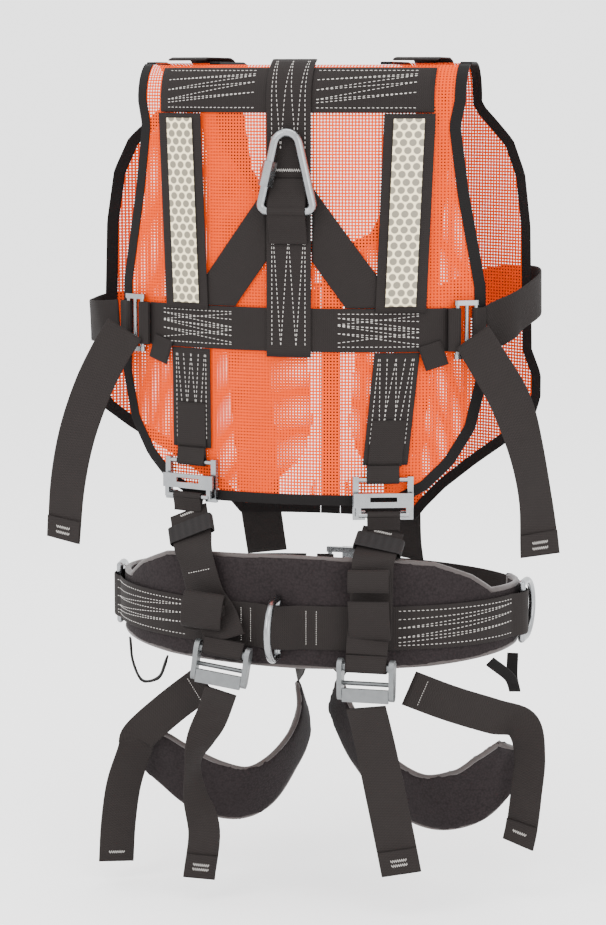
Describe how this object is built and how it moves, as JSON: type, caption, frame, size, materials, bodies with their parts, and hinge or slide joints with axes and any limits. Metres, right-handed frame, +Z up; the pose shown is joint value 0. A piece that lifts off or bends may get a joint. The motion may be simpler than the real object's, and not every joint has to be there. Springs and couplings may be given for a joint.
{
  "type": "safety harness",
  "caption": "Full-body fall-arrest harness with mesh vest, padded positioning belt, dorsal quick link, belt rings, quick-connect buckles and padded leg loops.",
  "frame": {"origin": "middle of the shoulders, on their top, between the two shoulder straps", "axes": "+Z up, -Y out of the wearer's back, +X to the wearer's right"},
  "size_m": [0.5507, 0.3431, 0.8666],
  "materials": {
    "webbing": "woven polyester webbing",
    "mesh_fabric": "open polyester mesh",
    "binding_tape": "woven binding tape",
    "reflective": "microprismatic tape",
    "zinc_steel": "bright zinc plate",
    "cast_alloy": "blasted casting",
    "pad_fabric": "brushed padding cover",
    "elastic": "ribbed elastic"
  },
  "bodies": {
    "harness": {"back_panel": "mesh_fabric", "front_panel_left": "mesh_fabric", "front_panel_right": "mesh_fabric", "back_binding": "binding_tape", "front_binding_left": "binding_tape", "front_binding_right": "binding_tape", "zip_tape": "binding_tape", "yoke_strap": "webbing", "spine_strap": "webbing", "dorsal_loop": "webbing", "cross_strap_left": "webbing", "cross_strap_right": "webbing", "chest_strap": "webbing", "shoulder_strap_left": "webbing", "shoulder_strap_right": "webbing", "front_strap_left": "webbing", "front_strap_right": "webbing", "reflective_tape_left": "reflective", "reflective_tape_right": "reflective", "back_strap_left": "webbing", "back_strap_right": "webbing", "side_adjuster_left": "zinc_steel", "side_adjuster_right": "zinc_steel", "side_strap_left": "webbing", "side_strap_right": "webbing", "keeper_strap_left": "webbing", "keeper_strap_right": "webbing", "chest_buckle_frame": "zinc_steel", "mid_buckle_left": "zinc_steel", "mid_buckle_right": "zinc_steel", "lower_strap_left": "webbing", "lower_strap_right": "webbing", "lower_buckle_left": "cast_alloy", "lower_buckle_right": "cast_alloy", "lumbar_pad": "pad_fabric", "belt_webbing": "webbing", "belt_buckle_frame": "zinc_steel", "gear_loops": "webbing"},
    "link": {"quick_link": "zinc_steel"},
    "link_nut": {"link_nut": "zinc_steel"},
    "rear_ring": {"rear_d_ring": "zinc_steel"},
    "side_ring_left": {"side_d_ring_left": "zinc_steel"},
    "side_ring_right": {"side_d_ring_right": "zinc_steel"},
    "lever_left": {"buckle_lever_left": "cast_alloy"},
    "lever_right": {"buckle_lever_right": "cast_alloy"},
    "mid_plate_left": {"mid_plate_left": "zinc_steel"},
    "mid_plate_right": {"mid_plate_right": "zinc_steel"},
    "chest_plate": {"chest_buckle_plate": "zinc_steel"},
    "belt_plate": {"belt_buckle_plate": "zinc_steel"},
    "zip_slider": {"zip_slider": "zinc_steel"},
    "keeper_left": {"elastic_keeper_left": "elastic"},
    "keeper_right": {"elastic_keeper_right": "elastic"},
    "side_tail_left": {"side_tail_left": "webbing"},
    "side_tail_right": {"side_tail_right": "webbing"},
    "lower_tail_left": {"lower_tail_left": "webbing"},
    "lower_tail_right": {"lower_tail_right": "webbing"},
    "leg_left": {"leg_pad_left": "pad_fabric", "leg_strap_left": "webbing"},
    "leg_right": {"leg_pad_right": "pad_fabric", "leg_strap_right": "webbing"}
  },
  "joints": [
    {"name": "link_swing", "type": "hinge", "parent": "harness", "child": "link", "pos_m": [0, -0.1141, -0.15], "axis": [1, 0, 0], "range_deg": [0, 150]},
    {"name": "nut_screw", "type": "slide", "parent": "link", "child": "link_nut", "axis": [0.2229, 0, 0.9748], "range_m": [0, 0.011]},
    {"name": "rear_ring_swing", "type": "hinge", "parent": "harness", "child": "rear_ring", "pos_m": [-0.00323, -0.1418, -0.577], "axis": [0, 0, 1], "range_deg": [-50, 75]},
    {"name": "side_ring_left_swing", "type": "hinge", "parent": "harness", "child": "side_ring_left", "pos_m": [-0.2122, -0.01238, -0.577], "axis": [0, 0, 1], "range_deg": [0, 150]},
    {"name": "side_ring_right_swing", "type": "hinge", "parent": "harness", "child": "side_ring_right", "pos_m": [0.2322, -0.01238, -0.577], "axis": [0, 0, 1], "range_deg": [-150, 0]},
    {"name": "lever_left_lift", "type": "hinge", "parent": "harness", "child": "lever_left", "pos_m": [-0.06309, -0.153, -0.63085], "axis": [0.9903, 0, -0.1392], "range_deg": [0, 50]},
    {"name": "mid_plate_left_tilt", "type": "hinge", "parent": "harness", "child": "mid_plate_left", "pos_m": [-0.11126, -0.09463, -0.452], "axis": [0.9495, -0.3136, 0], "range_deg": [0, 60]},
    {"name": "lever_right_lift", "type": "hinge", "parent": "harness", "child": "lever_right", "pos_m": [0.092, -0.153, -0.64], "axis": [1, 0, 0], "range_deg": [0, 50]},
    {"name": "mid_plate_right_tilt", "type": "hinge", "parent": "harness", "child": "mid_plate_right", "pos_m": [0.09903, -0.09845, -0.464], "axis": [0.9594, 0.282, 0], "range_deg": [0, 60]},
    {"name": "chest_plate_tilt", "type": "hinge", "parent": "harness", "child": "chest_plate", "pos_m": [0.017, 0.1212, -0.273], "axis": [0, 0, -1], "range_deg": [0, 60]},
    {"name": "belt_plate_tilt", "type": "hinge", "parent": "harness", "child": "belt_plate", "pos_m": [0.027, 0.1469, -0.577], "axis": [0, 0, -1], "range_deg": [0, 60]},
    {"name": "zip_travel", "type": "slide", "parent": "harness", "child": "zip_slider", "axis": [0, 0, -1], "range_m": [0, 0.24]},
    {"name": "keeper_left_slide", "type": "slide", "parent": "harness", "child": "keeper_left", "axis": [0.3, -0.652, -0.6964], "range_m": [-0.005, 0.005]},
    {"name": "keeper_right_slide", "type": "slide", "parent": "harness", "child": "keeper_right", "axis": [-0.0763, -0.8205, -0.5666], "range_m": [-0.003, 0.003]},
    {"name": "side_tail_left_swing", "type": "hinge", "parent": "harness", "child": "side_tail_left", "pos_m": [-0.182, -0.064, -0.279], "axis": [0, 1, 0], "range_deg": [-8, 25]},
    {"name": "side_tail_right_swing", "type": "hinge", "parent": "harness", "child": "side_tail_right", "pos_m": [0.182, -0.064, -0.279], "axis": [0, 1, 0], "range_deg": [-25, 8]},
    {"name": "lower_tail_left_swing", "type": "hinge", "parent": "harness", "child": "lower_tail_left", "pos_m": [-0.061, -0.153, -0.645], "axis": [1, 0, 0], "range_deg": [-40, 4]},
    {"name": "lower_tail_right_swing", "type": "hinge", "parent": "harness", "child": "lower_tail_right", "pos_m": [0.092, -0.153, -0.654], "axis": [1, 0, 0], "range_deg": [-40, 4]},
    {"name": "leg_left_swing", "type": "hinge", "parent": "harness", "child": "leg_left", "pos_m": [-0.032, 0.13, -0.611], "axis": [-0.265, -0.949, -0.171], "range_deg": [-8, 8]},
    {"name": "leg_right_swing", "type": "hinge", "parent": "harness", "child": "leg_right", "pos_m": [0.018, 0.13, -0.611], "axis": [0.4296, -0.8982, -0.0937], "range_deg": [-8, 8]}
  ]
}
